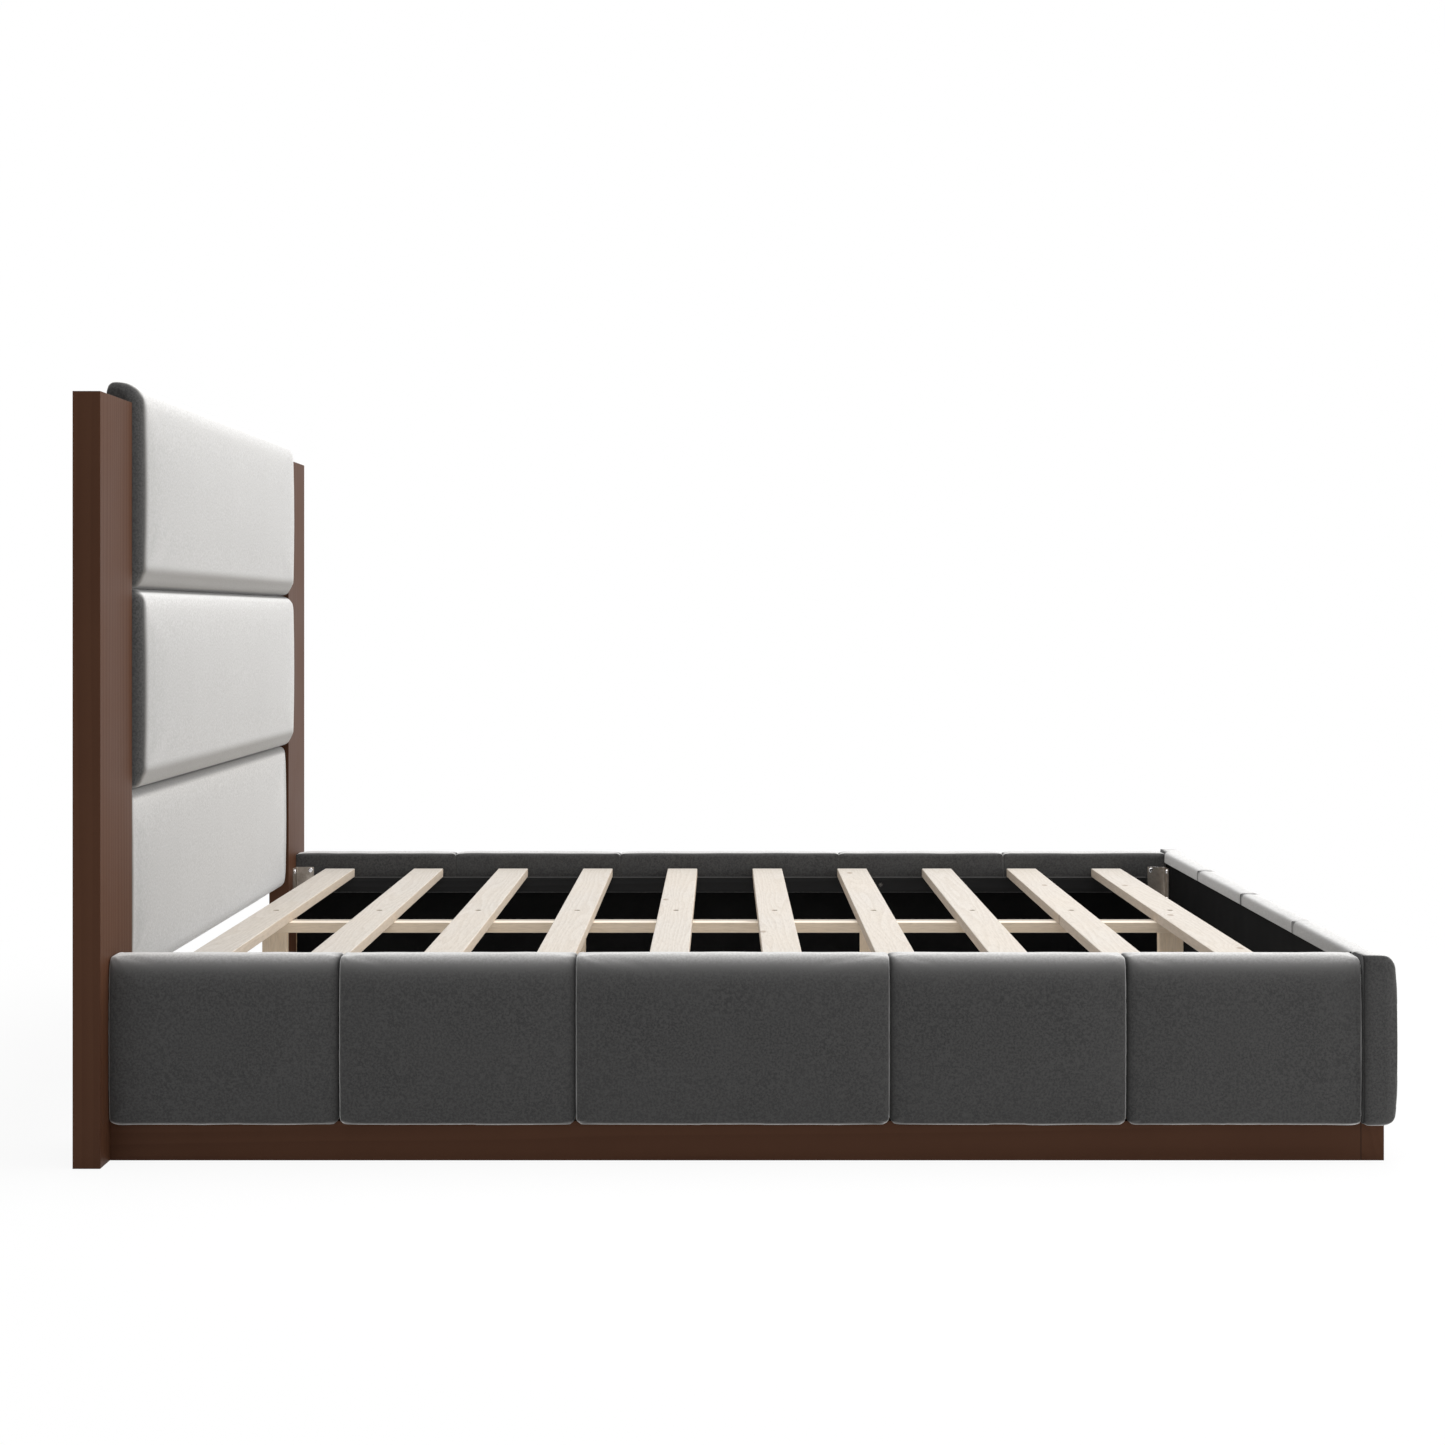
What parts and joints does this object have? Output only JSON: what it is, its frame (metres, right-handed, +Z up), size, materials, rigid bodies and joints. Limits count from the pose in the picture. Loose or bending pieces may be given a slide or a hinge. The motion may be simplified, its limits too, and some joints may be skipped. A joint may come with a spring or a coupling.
{
  "type": "upholstered platform bed",
  "caption": "Low bed with a panelled, padded headboard between two tall boards, padded rails on a set-back plinth, and a slatted base on ledgers and a centre beam with legs.",
  "frame": {"origin": "on the floor, in the middle of the bed's overall length and width", "axes": "+X towards the foot end, +Y towards the right side as seen from the foot, +Z up"},
  "size_m": [2.161, 1.767, 1.3009],
  "materials": {
    "brown_wood": "satin dark brown paint",
    "velvet": "charcoal velvet, pale at a flat angle",
    "black_lining": "matt non-woven cloth",
    "board": "raw plywood",
    "black_strip": "matt black",
    "pine": "raw planed pine",
    "dowel_wood": "raw beech",
    "steel": "zinc plated",
    "bright_steel": "bright plated",
    "zinc_steel": "zinc plated"
  },
  "bodies": {
    "root": {"bracket_bolts": "bright_steel", "center_beam": "pine", "center_leg_1": "pine", "center_leg_2": "pine", "center_leg_3": "pine", "center_leg_4": "pine", "corner_bracket_foot_left": "steel", "corner_bracket_foot_right": "steel", "corner_bracket_head_left": "steel", "corner_bracket_head_right": "steel", "dowels": "dowel_wood", "foot_pad_1": "velvet", "foot_pad_2": "velvet", "foot_pad_3": "velvet", "foot_pad_4": "velvet", "foot_rail": "board", "headboard_board_lower": "board", "headboard_board_middle": "board", "headboard_board_upper": "board", "headboard_cover_lower": "black_lining", "headboard_cover_middle": "black_lining", "headboard_cover_upper": "black_lining", "headboard_pad_lower": "velvet", "headboard_pad_middle": "velvet", "headboard_pad_upper": "velvet", "headboard_post_left": "brown_wood", "headboard_post_right": "brown_wood", "ledger_left": "black_strip", "ledger_right": "black_strip", "lining_foot": "black_lining", "lining_left": "black_lining", "lining_right": "black_lining", "long_screws": "zinc_steel", "plinth_foot": "brown_wood", "plinth_left": "brown_wood", "plinth_right": "brown_wood", "short_screws": "zinc_steel", "side_pad_left_1": "velvet", "side_pad_left_2": "velvet", "side_pad_left_3": "velvet", "side_pad_left_4": "velvet", "side_pad_left_5": "velvet", "side_pad_right_1": "velvet", "side_pad_right_2": "velvet", "side_pad_right_3": "velvet", "side_pad_right_4": "velvet", "side_pad_right_5": "velvet", "side_rail_left": "board", "side_rail_right": "board", "slat_01": "pine", "slat_02": "pine", "slat_03": "pine", "slat_04": "pine", "slat_05": "pine", "slat_06": "pine", "slat_07": "pine", "slat_08": "pine", "slat_09": "pine", "slat_10": "pine"}
  },
  "joints": []
}
